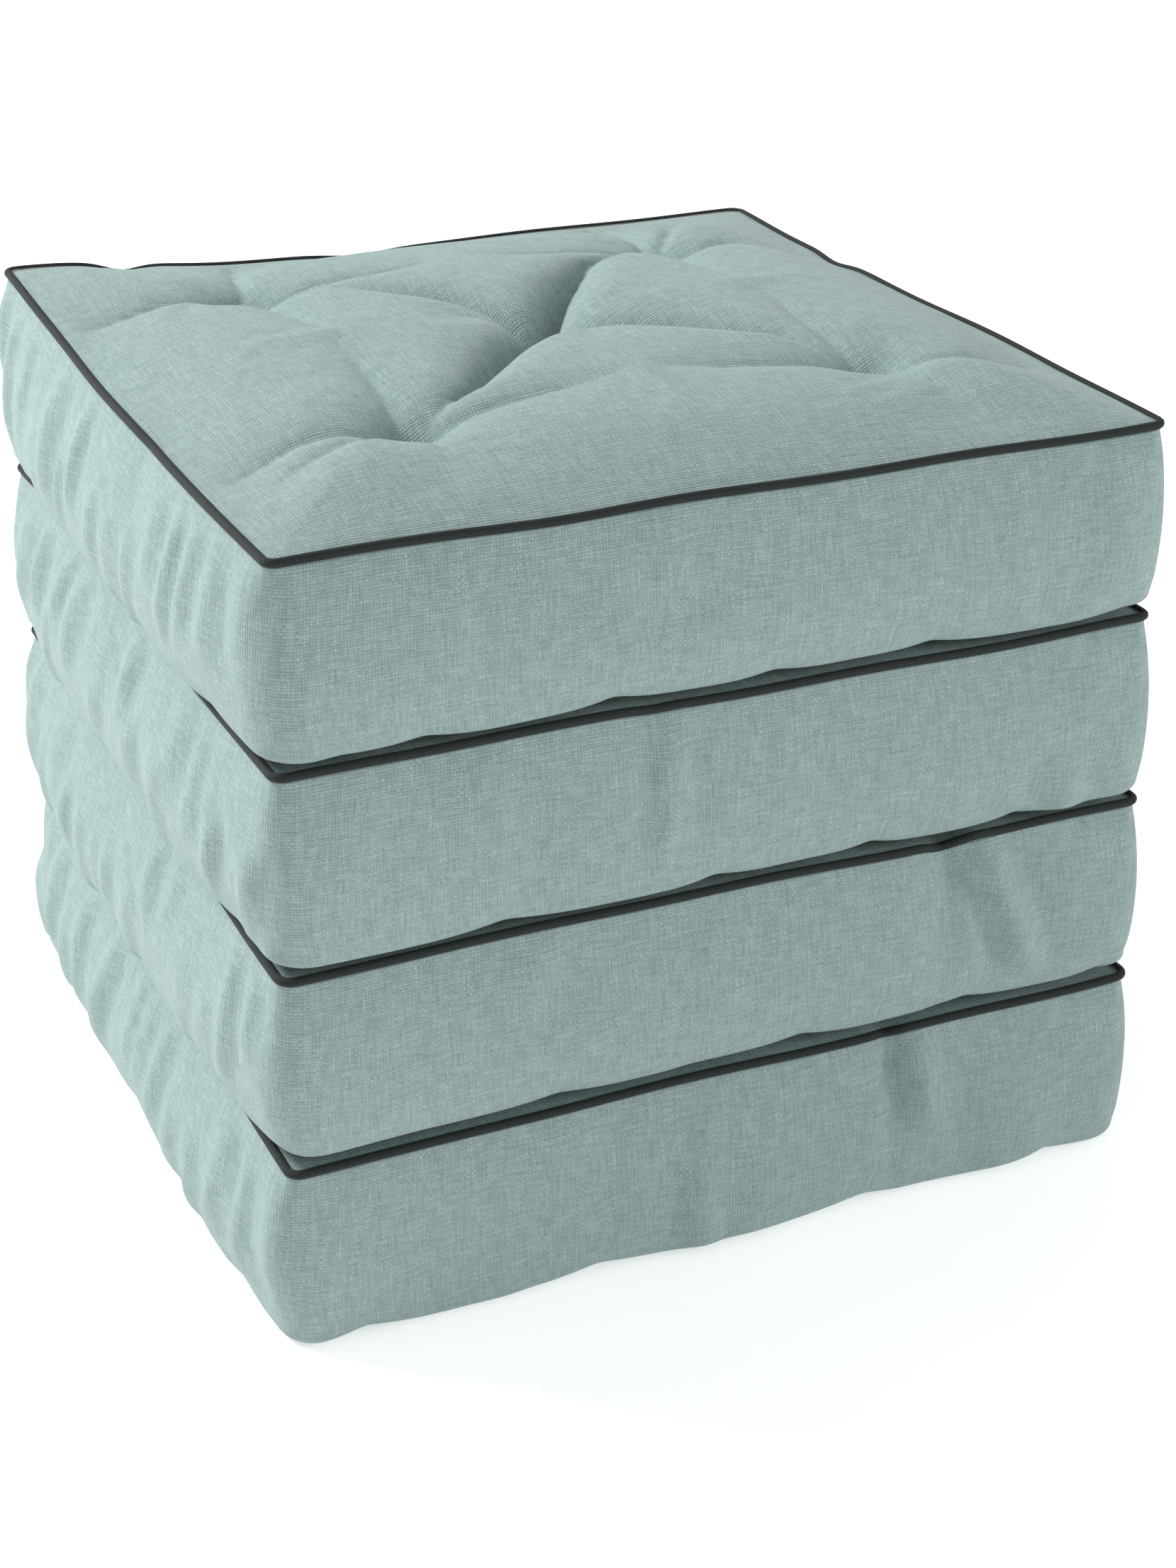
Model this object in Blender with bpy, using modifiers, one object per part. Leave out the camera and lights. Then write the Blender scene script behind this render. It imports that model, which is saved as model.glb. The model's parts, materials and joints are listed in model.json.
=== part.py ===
"""Four square tufted box cushions, stacked, each piece as its own closed solid.

A cushion is an upper and a lower fabric panel, one side band, a piping round
each seam (a cover strip sewn over a filler cord), a soft filling, and five
ties that pull the two panels together through the filling.

Metres, +Z up. The origin is on the floor, under the middle of the stack.
"""

import math

import bmesh
import bpy

# Driving dimensions
CUSHIONS = 4
SIDE = 0.400  # between the seams of opposite sides
THICKNESS = 0.088  # between the two faces, as pressed in the stack
PRESSED_CROWN = 0.004  # how far a pressed face stands over its seam
FREE_CROWN = 0.013  # the same for the face that nothing presses
LOWER_TUCK = 0.010  # how far the lower seam lies in under the band
LIP_RADIUS = 0.009  # of the band's round lower edge
LIP_BULGE = 0.003  # how far the band stands past the upper seam over that edge
BAND_BULGE = 0.005  # the same at mid height
SEAM_CORNER_RADIUS = 0.005
BAND_CORNER_RADIUS = 0.020  # of the band's corners at mid height
FABRIC = 0.001
PIPING_RADIUS = 0.002
PIPING_WALL = 0.00045  # of the cover strip
TUFT_SHARE = 0.535  # of the half side: how far out the four outer tufts are, each way
TUFT_RADIUS = 0.050  # of the hollow that a tuft makes
TUFT_DEPTH = 0.022  # of that hollow under a pressed face
THREAD_RADIUS = 0.0012
KNOT_RADIUS = 0.003

# Clearances
GAP = 0.0003  # between pieces that touch
FILLING_GAP = 0.0006  # under the panels
FILLING_INSET = 0.0015  # of the filling's edges from the panels' edges

# Resolution
CORNER_STEPS = 3
COVER_STEPS = 6
CORD_SIDES = 6
TIE_SIDES = 8

COVER_OPENING = math.radians(50)  # where the strip's two edges meet the seam

# Each kind's colour (sRGB), roughness and metallic value
FINISHES = {
    "top_panel": ((0.59, 0.67, 0.66), 0.90, 0.0),
    "bottom_panel": ((0.56, 0.64, 0.63), 0.90, 0.0),
    "side_band": ((0.57, 0.65, 0.64), 0.90, 0.0),
    "piping_cover": ((0.14, 0.16, 0.16), 0.80, 0.0),
    "piping_cord": ((0.80, 0.78, 0.72), 0.90, 0.0),
    "filling": ((0.93, 0.93, 0.90), 1.00, 0.0),
    "tuft_tie": ((0.42, 0.50, 0.49), 0.70, 0.0),
}

# Where the seams and the panels' edges lie
TOP_REACH = SIDE / 2
BOTTOM_REACH = SIDE / 2 - LOWER_TUCK
BOTTOM_SEAM = PRESSED_CROWN
TOP_SEAM = THICKNESS - PRESSED_CROWN
PIPING_CLEAR = PIPING_RADIUS + GAP
TOP_RIM = TOP_REACH - PIPING_CLEAR
BOTTOM_RIM = BOTTOM_REACH - PIPING_CLEAR
TUFT_OFFSET = SIDE / 2 * TUFT_SHARE
TUFTS = [(0.0, 0.0)] + [
    (x * TUFT_OFFSET, y * TUFT_OFFSET) for x, y in ((1, 1), (-1, 1), (-1, -1), (1, -1))
]


def clear_scene():
    for old in list(bpy.data.objects):
        bpy.data.objects.remove(old, do_unlink=True)


def new_collection(name):
    collection = bpy.data.collections.new(name)
    bpy.context.scene.collection.children.link(collection)
    return collection


def linear(value):
    return value / 12.92 if value <= 0.04045 else ((value + 0.055) / 1.055) ** 2.4


def finish(kind):
    """The Principled material of one kind of piece."""
    colour, roughness, metallic = FINISHES[kind]
    material = bpy.data.materials.new(kind)
    material.use_nodes = True
    shader = material.node_tree.nodes["Principled BSDF"]
    shader.inputs["Base Color"].default_value = (*map(linear, colour), 1.0)
    shader.inputs["Roughness"].default_value = roughness
    shader.inputs["Metallic"].default_value = metallic
    return material


def add_piece(name, shape, material, parent, collection):
    """Turn a bmesh into a named object under its cushion's empty."""
    mesh = bpy.data.meshes.new(name)
    shape.to_mesh(mesh)
    shape.free()
    mesh.shade_smooth()
    mesh.materials.append(material)
    piece = bpy.data.objects.new(name, mesh)
    piece.parent = parent
    collection.objects.link(piece)
    return piece


# Rings: the side band and the pipings


def rounded_square(half, radius, height):
    """A level outline with round corners, counterclockwise."""
    points = []
    for corner in range(4):
        start = corner * math.pi / 2
        cx = (half - radius) * math.sqrt(2) * math.cos(start + math.pi / 4)
        cy = (half - radius) * math.sqrt(2) * math.sin(start + math.pi / 4)
        for step in range(CORNER_STEPS + 1):
            angle = start + step / CORNER_STEPS * math.pi / 2
            x, y = cx + radius * math.cos(angle), cy + radius * math.sin(angle)
            points.append((x, y, height))
    return points


def ring(section):
    """A closed ring whose section's points are (reach, corner radius, height)."""
    shape = bmesh.new()
    loops = [[shape.verts.new(p) for p in rounded_square(*point)] for point in section]
    count = len(loops[0])
    for loop, following in zip(loops, loops[1:] + loops[:1]):
        for i in range(count):
            j = (i + 1) % count
            shape.faces.new((loop[i], loop[j], following[j], following[i]))
    bmesh.ops.recalc_face_normals(shape, faces=shape.faces)
    return shape


def band_rows():
    """The middle of the band's cloth, from the lower piping to the upper one."""
    lip_middle = SIDE / 2 + LIP_BULGE - LIP_RADIUS
    low = FABRIC / 2 + GAP
    upper_bulge = BAND_BULGE * 0.75  # of a parabola, halfway up from its top
    seam_end = SEAM_CORNER_RADIUS + PIPING_CLEAR
    middle = THICKNESS / 2
    rows = [(BOTTOM_REACH + PIPING_CLEAR + FABRIC / 2, seam_end, BOTTOM_SEAM)]
    for angle in (-math.pi / 2, -math.pi / 4, 0.0):
        reach = lip_middle + LIP_RADIUS * math.cos(angle)
        radius = seam_end + LIP_RADIUS * math.cos(angle)
        rows.append((reach, radius, low + LIP_RADIUS * (1 + math.sin(angle))))
    rows.append((SIDE / 2 + BAND_BULGE, BAND_CORNER_RADIUS, middle))
    upper_radius = (BAND_CORNER_RADIUS + SEAM_CORNER_RADIUS) / 2
    rows.append((SIDE / 2 + upper_bulge, upper_radius, (middle + TOP_SEAM) / 2))
    rows.append((TOP_REACH, SEAM_CORNER_RADIUS, TOP_SEAM - PIPING_CLEAR))
    return rows


def beside(rows, distance):
    """The same section, moved outwards across its own run."""
    moved = []
    for i, (reach, radius, height) in enumerate(rows):
        before, after = rows[max(i - 1, 0)], rows[min(i + 1, len(rows) - 1)]
        run, rise = after[0] - before[0], after[2] - before[2]
        length = math.hypot(run, rise)
        out, up = distance * rise / length, -distance * run / length
        moved.append((reach + out, radius + out, height + up))
    return moved


def side_band():
    rows = band_rows()
    return ring(beside(rows, FABRIC / 2) + beside(rows, -FABRIC / 2)[::-1])


def round_the_seam(radius, angle, reach, seam, up):
    """A section point at an angle round the piping's middle."""
    out = radius * math.cos(angle)
    return reach + out, SEAM_CORNER_RADIUS + out, seam + up * radius * math.sin(angle)


def piping_cover(reach, seam, up, opening):
    """The strip round the cord, open where its edges run into the seam."""
    start = opening + COVER_OPENING / 2
    span = 2 * math.pi - COVER_OPENING
    angles = [start + span * i / COVER_STEPS for i in range(COVER_STEPS + 1)]
    inside = PIPING_RADIUS - PIPING_WALL
    outer = [round_the_seam(PIPING_RADIUS, a, reach, seam, up) for a in angles]
    inner = [round_the_seam(inside, a, reach, seam, up) for a in angles]
    return ring(outer + inner[::-1])


def piping_cord(reach, seam, up):
    half_step = (2 * math.pi - COVER_OPENING) / COVER_STEPS / 2
    radius = (PIPING_RADIUS - PIPING_WALL) * math.cos(half_step) - GAP
    angles = [2 * math.pi * i / CORD_SIDES for i in range(CORD_SIDES)]
    return ring([round_the_seam(radius, a, reach, seam, up) for a in angles])


# Panels and filling: grids with a line through every tuft


def grid_lines(rim):
    inner, outer = TUFT_OFFSET - TUFT_RADIUS, TUFT_OFFSET + TUFT_RADIUS
    half = [inner, TUFT_OFFSET, outer, rim]
    return [-line for line in reversed(half)] + [0.0] + half


def is_tuft(x, y):
    return any(math.hypot(x - tx, y - ty) < GAP for tx, ty in TUFTS)


def face_height(x, y, rim, crown):
    """Height of a panel's outer face over its seam."""
    if is_tuft(x, y):
        return PRESSED_CROWN - TUFT_DEPTH
    shoulder = rim - TUFT_OFFSET - TUFT_RADIUS
    share = min(1.0, max(0.0, (rim - max(abs(x), abs(y))) / shoulder))
    return FABRIC / 2 + (crown - FABRIC / 2) * share


def round_corner(x, y, reach, radius):
    """Move a point past a corner's start onto the chords that round the corner."""
    start = reach - radius
    across, along = abs(x) - start, abs(y) - start
    if min(across, along) <= 0:
        return x, y
    inside = radius * math.cos(math.pi / 4 / CORNER_STEPS)
    share = min(1.0, inside / math.hypot(across, along))
    across, along = start + across * share, start + along * share
    return math.copysign(across, x), math.copysign(along, y)


def split_level_quads(shape):
    """Cut each quad of a face through its tuft, or through its point nearest the middle."""
    for face in [f for f in shape.faces if len(f.verts) == 4]:
        if abs(face.normal.z) < 0.5:
            continue
        corners = list(face.verts)
        start = min(
            corners,
            key=lambda v: (not is_tuft(v.co.x, v.co.y), abs(v.co.x) + abs(v.co.y)),
        )
        opposite = corners[(corners.index(start) + 2) % 4]
        bmesh.utils.face_split(face, start, opposite)


def panel(rim, seam, up, crown):
    """The open outer face of a panel, above (up = 1) or below (up = -1) its seam."""
    lines = grid_lines(rim)
    last = len(lines) - 1
    shape = bmesh.new()
    bmesh.ops.create_grid(shape, x_segments=last, y_segments=last, size=1.0)
    for vert in shape.verts:
        x, y = (lines[round((value + 1) / 2 * last)] for value in vert.co.xy)
        height = face_height(x, y, rim, crown)
        vert.co.xy = round_corner(x, y, rim, SEAM_CORNER_RADIUS - PIPING_RADIUS)
        vert.co.z = seam + up * height
    shape.normal_update()
    split_level_quads(shape)
    if up < 0:
        bmesh.ops.reverse_faces(shape, faces=shape.faces)
    return shape


def filling_rows():
    """The filling's side from its lower edge to its upper one, inside the band's rows."""
    behind = beside(band_rows(), -FABRIC / 2 - GAP)
    over_piping = BOTTOM_SEAM + PIPING_RADIUS + 3 * GAP
    edge_radius = SEAM_CORNER_RADIUS - PIPING_CLEAR - FILLING_INSET
    past = PIPING_RADIUS / 2
    rows = [(BOTTOM_RIM - FILLING_INSET, edge_radius, None)]
    rows.append((BOTTOM_REACH + past, SEAM_CORNER_RADIUS + past, over_piping))
    rows += behind[2:-1]
    rows.append((TOP_RIM - FILLING_INSET, edge_radius, None))
    return rows


def filling(crown):
    """A block that follows both panels and the band from inside."""
    rows = filling_rows()
    top = len(rows) - 1
    lines = grid_lines(1.0)
    last = len(lines) - 1
    under = FABRIC + FILLING_GAP
    shape = bmesh.new()
    bmesh.ops.create_cube(shape, size=2.0)
    level = [e for e in shape.edges if e.verts[0].co.z == e.verts[1].co.z]
    bmesh.ops.subdivide_edges(shape, edges=level, cuts=last - 1, use_grid_fill=True)
    upright = [e for e in shape.edges if abs(e.verts[0].co.z - e.verts[1].co.z) > 1]
    bmesh.ops.subdivide_edges(shape, edges=upright, cuts=top - 1)
    for vert in shape.verts:
        row = round((vert.co.z + 1) / 2 * top)
        reach, radius, height = rows[row]
        columns = [round((value + 1) / 2 * last) for value in vert.co.xy]
        x, y = (max(-reach, min(reach, lines[column])) for column in columns)
        if row == 0:
            height = BOTTOM_SEAM - face_height(x, y, BOTTOM_RIM, PRESSED_CROWN) + under
        elif row == top:
            height = TOP_SEAM + face_height(x, y, TOP_RIM, crown) - under
        vert.co = (*round_corner(x, y, reach, radius), height)
    shape.normal_update()
    split_level_quads(shape)
    return shape


# Ties


def knot_centre(crown):
    """Height of a knot's middle over the bottom of its hollow, resting on the slopes."""
    slope = (TUFT_DEPTH + crown - PRESSED_CROWN) / TUFT_RADIUS
    return (KNOT_RADIUS + GAP) * math.hypot(1, slope)


def tie_profile(crown):
    """Half the outline of a tie, from its upper knot's top to its lower knot's bottom."""
    neck = -math.acos(THREAD_RADIUS / KNOT_RADIUS)
    arc = [
        (KNOT_RADIUS * math.cos(a), KNOT_RADIUS * math.sin(a))
        for a in (math.pi / 2, math.pi / 4, 0.0, neck)
    ]
    arc[0] = (0.0, KNOT_RADIUS)
    top = THICKNESS - TUFT_DEPTH + knot_centre(crown)
    bottom = TUFT_DEPTH - knot_centre(PRESSED_CROWN)
    upper = [(x, 0.0, top + z) for x, z in arc]
    lower = [(x, 0.0, bottom - z) for x, z in reversed(arc)]
    return upper + lower


def add_tie(name, place, crown, material, parent, collection):
    shape = bmesh.new()
    verts = [shape.verts.new(point) for point in tie_profile(crown)]
    for one, following in zip(verts, verts[1:]):
        shape.edges.new((one, following))
    tie = add_piece(name, shape, material, parent, collection)
    tie.location = (*place, 0.0)
    screw = tie.modifiers.new("turn", "SCREW")
    screw.axis = "Z"
    screw.steps = screw.render_steps = TIE_SIDES
    screw.use_merge_vertices = True
    screw.merge_threshold = 0.00001
    screw.use_smooth_shade = True


def add_hole_cutters(collection):
    """One long rod for each tuft, through every cushion of the stack."""
    height = CUSHIONS * (THICKNESS + GAP) + FREE_CROWN
    for index, (x, y) in enumerate(TUFTS, 1):
        shape = bmesh.new()
        radius = THREAD_RADIUS + GAP
        bmesh.ops.create_cone(
            shape,
            cap_ends=True,
            segments=TIE_SIDES,
            radius1=radius,
            radius2=radius,
            depth=2 * height,
        )
        mesh = bpy.data.meshes.new(f"tuft_hole_{index}")
        shape.to_mesh(mesh)
        shape.free()
        cutter = bpy.data.objects.new(mesh.name, mesh)
        cutter.location = (x, y, 0.0)
        cutter.hide_render = True
        cutter.display_type = "WIRE"
        collection.objects.link(cutter)


def cut_holes(piece, cutters):
    holes = piece.modifiers.new("tuft_holes", "BOOLEAN")
    holes.operation = "DIFFERENCE"
    holes.solver = "EXACT"
    holes.operand_type = "COLLECTION"
    holes.collection = cutters


def add_cushion(number, materials, collection, cutters):
    """One cushion on top of those below it, with its own empty at its base."""
    name = f"cushion_{number}"
    crown = FREE_CROWN if number == CUSHIONS else PRESSED_CROWN
    base = bpy.data.objects.new(f"{name}_base", None)
    base.location.z = (number - 1) * (THICKNESS + GAP)
    collection.objects.link(base)

    def add(piece, shape, kind):
        return add_piece(f"{name}_{piece}", shape, materials[kind], base, collection)

    for piece, rim, seam, up, height in (
        ("top_panel", TOP_RIM, TOP_SEAM, 1, crown),
        ("bottom_panel", BOTTOM_RIM, BOTTOM_SEAM, -1, PRESSED_CROWN),
    ):
        cloth = add(piece, panel(rim, seam, up, height), piece)
        thick = cloth.modifiers.new("cloth", "SOLIDIFY")
        thick.thickness = FABRIC
        thick.offset = -1.0
        cut_holes(cloth, cutters)
    add("side_band", side_band(), "side_band")
    for side, reach, seam, up, opening in (
        ("top", TOP_REACH, TOP_SEAM, 1, math.radians(-135)),
        ("bottom", BOTTOM_REACH, BOTTOM_SEAM, -1, math.radians(-90)),
    ):
        cover = piping_cover(reach, seam, up, opening)
        add(f"{side}_piping_cover", cover, "piping_cover")
        add(f"{side}_piping_cord", piping_cord(reach, seam, up), "piping_cord")
    cut_holes(add("filling", filling(crown), "filling"), cutters)
    for index, place in enumerate(TUFTS, 1):
        tie = f"{name}_tuft_tie_{index}"
        add_tie(tie, place, crown, materials["tuft_tie"], base, collection)


def main():
    clear_scene()
    cushions = new_collection("tufted_cushion_stack")
    cutters = new_collection("tuft_hole_cutters")
    materials = {kind: finish(kind) for kind in FINISHES}
    add_hole_cutters(cutters)
    for number in range(1, CUSHIONS + 1):
        add_cushion(number, materials, cushions, cutters)


main()
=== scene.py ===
# %% [markdown]
# # A stack of four tufted box cushions
# Each cushion is a square bag of heathered linen, boxed by a side band and
# edged with ribbed piping. Five stitches pull its two faces together. The lesson
# dresses the plain frame: cloth that creases, piping with ribs, and thread.

# %% Load the frame
import json
import math
import bpy
import numpy as np
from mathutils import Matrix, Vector

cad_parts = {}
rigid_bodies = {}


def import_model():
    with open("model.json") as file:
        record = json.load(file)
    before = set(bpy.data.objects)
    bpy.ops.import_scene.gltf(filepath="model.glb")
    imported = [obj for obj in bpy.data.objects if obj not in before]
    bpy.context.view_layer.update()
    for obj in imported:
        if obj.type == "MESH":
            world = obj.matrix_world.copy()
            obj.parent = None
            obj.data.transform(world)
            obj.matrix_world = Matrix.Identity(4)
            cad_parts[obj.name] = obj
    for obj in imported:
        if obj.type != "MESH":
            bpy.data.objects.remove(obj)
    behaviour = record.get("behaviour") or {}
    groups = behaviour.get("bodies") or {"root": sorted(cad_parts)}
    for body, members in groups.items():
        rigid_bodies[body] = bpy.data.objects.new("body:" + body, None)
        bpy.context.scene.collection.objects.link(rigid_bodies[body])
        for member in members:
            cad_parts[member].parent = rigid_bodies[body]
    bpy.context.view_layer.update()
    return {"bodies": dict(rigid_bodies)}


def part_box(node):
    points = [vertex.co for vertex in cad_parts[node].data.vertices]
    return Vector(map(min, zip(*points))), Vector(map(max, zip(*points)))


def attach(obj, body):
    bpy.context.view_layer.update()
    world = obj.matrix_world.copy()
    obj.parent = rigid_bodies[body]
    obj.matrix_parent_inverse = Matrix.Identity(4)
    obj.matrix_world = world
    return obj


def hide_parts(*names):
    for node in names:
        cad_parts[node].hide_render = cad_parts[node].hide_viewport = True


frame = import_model()
scene = bpy.context.scene

# %% [markdown]
# ## The camera
# The near corner of the stack points at the camera, a little to the left of the
# middle, and the camera looks down on it from about two stack heights.

# %% Camera
lens = bpy.data.cameras.new("camera")
lens.lens, lens.sensor_width = 65.87, 36
lens.shift_x, lens.shift_y = -0.0012, -0.16
camera = bpy.data.objects.new("camera", lens)
scene.collection.objects.link(camera)
camera.location = (-0.4981, -1.1530, 0.7351)
camera.rotation_euler = (math.radians(90 - 20.66), 0, math.radians(-24.29))
scene.camera = camera

# %% [markdown]
# ## Measures from the frame
# Every place below comes from the boxes of the frame's own nodes, so the cloth
# fits the frame whatever its size. A tie's box gives a tuft's place.

# %% Read the seams
def corners(node):
    """The lowest and the highest corner of a frame node, as arrays."""
    lowest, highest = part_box(node)
    return np.array(lowest), np.array(highest)


def seam_of(node):
    """Half the width of a seam's square, the seam's height, and the piping's radius."""
    lowest, highest = corners(node)
    radius = (highest[2] - lowest[2]) / 2
    return highest[0] - radius, (highest[2] + lowest[2]) / 2, radius


COUNT = sum(name.startswith("cushion_") for name in frame["bodies"])
REACH, TOP_SEAM, PIPING = seam_of("cushion_1_top_piping_cover")
UNDER_REACH, UNDER_SEAM, _ = seam_of("cushion_1_bottom_piping_cover")
THICKNESS = corners("cushion_1_top_panel")[1][2]
PITCH = seam_of("cushion_2_top_piping_cover")[1] - TOP_SEAM
PRESSED = THICKNESS - TOP_SEAM
print(f"seams {REACH:.4f} and {UNDER_REACH:.4f}, heights {TOP_SEAM:.4f} and {UNDER_SEAM:.4f}")
print(f"{COUNT} cushions {THICKNESS:.4f} thick every {PITCH:.4f}, piping {PIPING:.4f}")

# %% Read the tufts
TUFTS = []
for k in range(1, 6):
    lowest, highest = corners(f"cushion_1_tuft_tie_{k}")
    TUFTS.append((lowest + highest)[:2] / 2)
TUFT_SPREAD = float(np.abs(TUFTS[1]).mean())
print("tufts", [tuple(np.round(t, 3).tolist()) for t in TUFTS])

# %% [markdown]
# ## Colours and nodes
# Colours are written as on a paint card and turned to linear light in one place.
# One helper adds any node, with its settings and whatever is wired into it.

# %% Helpers for materials
def paint(card):
    """Linear colour of an sRGB hex value."""
    parts = [int(card[k : k + 2], 16) / 255 for k in (1, 3, 5)]
    return [p / 12.92 if p < 0.04045 else ((p + 0.055) / 1.055) ** 2.4 for p in parts] + [1.0]


def put(tree, kind, wires=None, **settings):
    """Adds a node. Its settings go by name; wires gives its inputs a value or a socket."""
    node = tree.nodes.new(kind)
    for name, value in settings.items():
        setattr(node, name, value)
    for socket, source in (wires or {}).items():
        if isinstance(source, bpy.types.NodeSocket):
            tree.links.new(source, node.inputs[socket])
        else:
            node.inputs[socket].default_value = source
    return node


def new_finish(name):
    """An empty material, its tree and its surface shader."""
    material = bpy.data.materials.new(name)
    material.use_nodes = True
    return material, material.node_tree, material.node_tree.nodes["Principled BSDF"]

# %% [markdown]
# ## Heathered linen
# Yarn-dyed linen look, plain woven: each thread passes over one and under the
# next, and no two threads have the same shade, which gives the cloth its fine
# light and dark strokes. The map is in metres along the threads. Real threads lie
# 1.14 mm apart; they are drawn 1.3 mm apart so that the weave still shows.

# %% Linen threads
THREAD = 0.0013


def across(tree, u, v, stretch, seed):
    """Noise that changes from thread to thread and slowly along a thread."""
    wide = put(tree, "ShaderNodeMath", {0: u, 1: 1 / THREAD}, operation="MULTIPLY")
    long = put(tree, "ShaderNodeMath", {0: v, 1: 1 / (THREAD * stretch)}, operation="MULTIPLY")
    where = put(tree, "ShaderNodeCombineXYZ", {"X": wide.outputs[0], "Y": long.outputs[0], "Z": seed})
    return put(tree, "ShaderNodeTexNoise", {"Vector": where.outputs[0], "Scale": 1.0, "Detail": 2.0,
                                            "Roughness": 0.7}).outputs["Fac"]


def thread_wave(tree, u, slub):
    """A sine with one half wave for each thread, its threads thicker and thinner by turns."""
    bent = put(tree, "ShaderNodeMath", {0: slub, 1: THREAD * 0.9, 2: u}, operation="MULTIPLY_ADD")
    turned = put(tree, "ShaderNodeMath", {0: bent.outputs[0], 1: math.pi / THREAD}, operation="MULTIPLY")
    return put(tree, "ShaderNodeMath", {0: turned.outputs[0]}, operation="SINE").outputs[0]


def linen(name, dark, middle, light):
    """Heathered linen in three shades of one yarn, with shade and highlight painted in at the weave's
    crossings.
    """
    material, tree, shader = new_finish(name)
    place = put(tree, "ShaderNodeUVMap", uv_map="cloth")
    split = put(tree, "ShaderNodeSeparateXYZ", {0: place.outputs[0]})
    u, v = split.outputs["X"], split.outputs["Y"]
    warp_shade, weft_shade = across(tree, u, v, 8, 1.7), across(tree, v, u, 8, 9.2)
    warp = thread_wave(tree, u, across(tree, u, v, 30, 4.1))
    weft = thread_wave(tree, v, across(tree, v, u, 30, 6.6))
    over = put(tree, "ShaderNodeMath", {0: warp, 1: weft}, operation="MULTIPLY")
    on_top = put(tree, "ShaderNodeMapRange", {"Value": over.outputs[0], "From Min": -0.25, "From Max": 0.25})
    shade = put(tree, "ShaderNodeMix", {"Factor": on_top.outputs[0], "A": weft_shade, "B": warp_shade})
    hump = put(tree, "ShaderNodeMath", {0: over.outputs[0]}, operation="ABSOLUTE")
    # Painted shade and highlight: the colour is darker in the gaps between thread crossings and lighter on
    # their tops.
    painted_weave_shade = put(tree, "ShaderNodeMath", {0: hump.outputs[0], 1: 0.10, 2: -0.05}, operation="MULTIPLY_ADD")
    level = put(tree, "ShaderNodeMath", {0: shade.outputs[0], 1: painted_weave_shade.outputs[0]}, operation="ADD")
    yarn = put(tree, "ShaderNodeValToRGB", {0: level.outputs[0]})
    ramp = yarn.color_ramp.elements
    ramp[0].position, ramp[0].color = 0.26, paint(dark)
    ramp[1].position, ramp[1].color = 0.78, paint(light)
    half = ramp.new(0.52)
    half.color = paint(middle)
    fibres = across(tree, u, v, 1, 3.3)
    height = put(tree, "ShaderNodeMath", {0: fibres, 1: 0.3, 2: hump.outputs[0]}, operation="MULTIPLY_ADD")
    bump = put(tree, "ShaderNodeBump", {"Strength": 0.55, "Distance": 0.0005, "Height": height.outputs[0]})
    tree.links.new(yarn.outputs[0], shader.inputs["Base Color"])
    tree.links.new(bump.outputs[0], shader.inputs["Normal"])
    shader.inputs["Roughness"].default_value = 0.92
    shader.inputs["Specular IOR Level"].default_value = 0.25
    shader.inputs["Sheen Weight"].default_value = 0.12
    shader.inputs["Sheen Roughness"].default_value = 0.5
    return material


LINEN = linen("heathered_linen", "#778b8b", "#8b9f9e", "#a1b4b3")
# The undersides use the same yarn painted a little darker: painted shade on the faces that point down.
SHADED_UNDER_LINEN = linen("heathered_linen_underside_painted_shade", "#738787", "#879b9a", "#9db0ae")
print("linen threads every", THREAD * 1000, "mm")

# %% [markdown]
# ## Piping cloth, cord, thread and filling
# The piping is a near black grosgrain strip: matt, with a rib across it every
# millimetre or so. Inside are a cotton cord and a pad of white polyester fibre,
# and the tufts are waxed polyester thread.

# %% Other finishes
def soft_finish(name, first, second, scale, roughness, depth, sheen=0.0):
    """A fibrous surface that drifts between two shades."""
    material, tree, shader = new_finish(name)
    place = put(tree, "ShaderNodeTexCoord")
    grain = put(tree, "ShaderNodeTexNoise", {"Vector": place.outputs["Object"], "Scale": scale,
                                             "Detail": 3.0})
    shade = put(tree, "ShaderNodeValToRGB", {0: grain.outputs["Fac"]})
    for element, at, card in zip(shade.color_ramp.elements, (0.35, 0.65), (first, second)):
        element.position, element.color = at, paint(card)
    bump = put(tree, "ShaderNodeBump", {"Strength": 0.5, "Distance": depth,
                                        "Height": grain.outputs["Fac"]})
    tree.links.new(shade.outputs[0], shader.inputs["Base Color"])
    tree.links.new(bump.outputs[0], shader.inputs["Normal"])
    shader.inputs["Roughness"].default_value = roughness
    shader.inputs["Sheen Weight"].default_value = sheen
    return material


GROSGRAIN = soft_finish("grosgrain_strip", "#0c1112", "#1a2122", 1600, 0.85, 0.0002)
COTTON = soft_finish("cotton_cord", "#cfc8b8", "#e6e0d2", 1200, 0.9, 0.0002)
FIBRE = soft_finish("polyester_fibre_filling", "#e4e4de", "#f6f6f2", 140, 1.0, 0.002, 0.2)
WAXED = soft_finish("waxed_thread", "#667f7f", "#7f9796", 1800, 0.6, 0.0001)
FLOOR = soft_finish("matt_studio_floor", "#f6f6f6", "#f8f8f8", 3, 0.95, 0.0001)

# %% [markdown]
# ## Floor and light
# One large soft light stands high behind on the left, a weak one in front, and the sky
# is plain. The floor is pale and glows a little, like a light table, so it stays white.

# %% Studio
def area_light(name, place, aim, size, power):
    """A square soft light at a place, turned to a point."""
    light = bpy.data.lights.new(name, "AREA")
    light.size, light.energy = size, power
    lamp = bpy.data.objects.new(name, light)
    scene.collection.objects.link(lamp)
    lamp.location = place
    lamp.rotation_euler = (Vector(aim) - Vector(place)).to_track_quat("-Z", "Y").to_euler()


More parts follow.
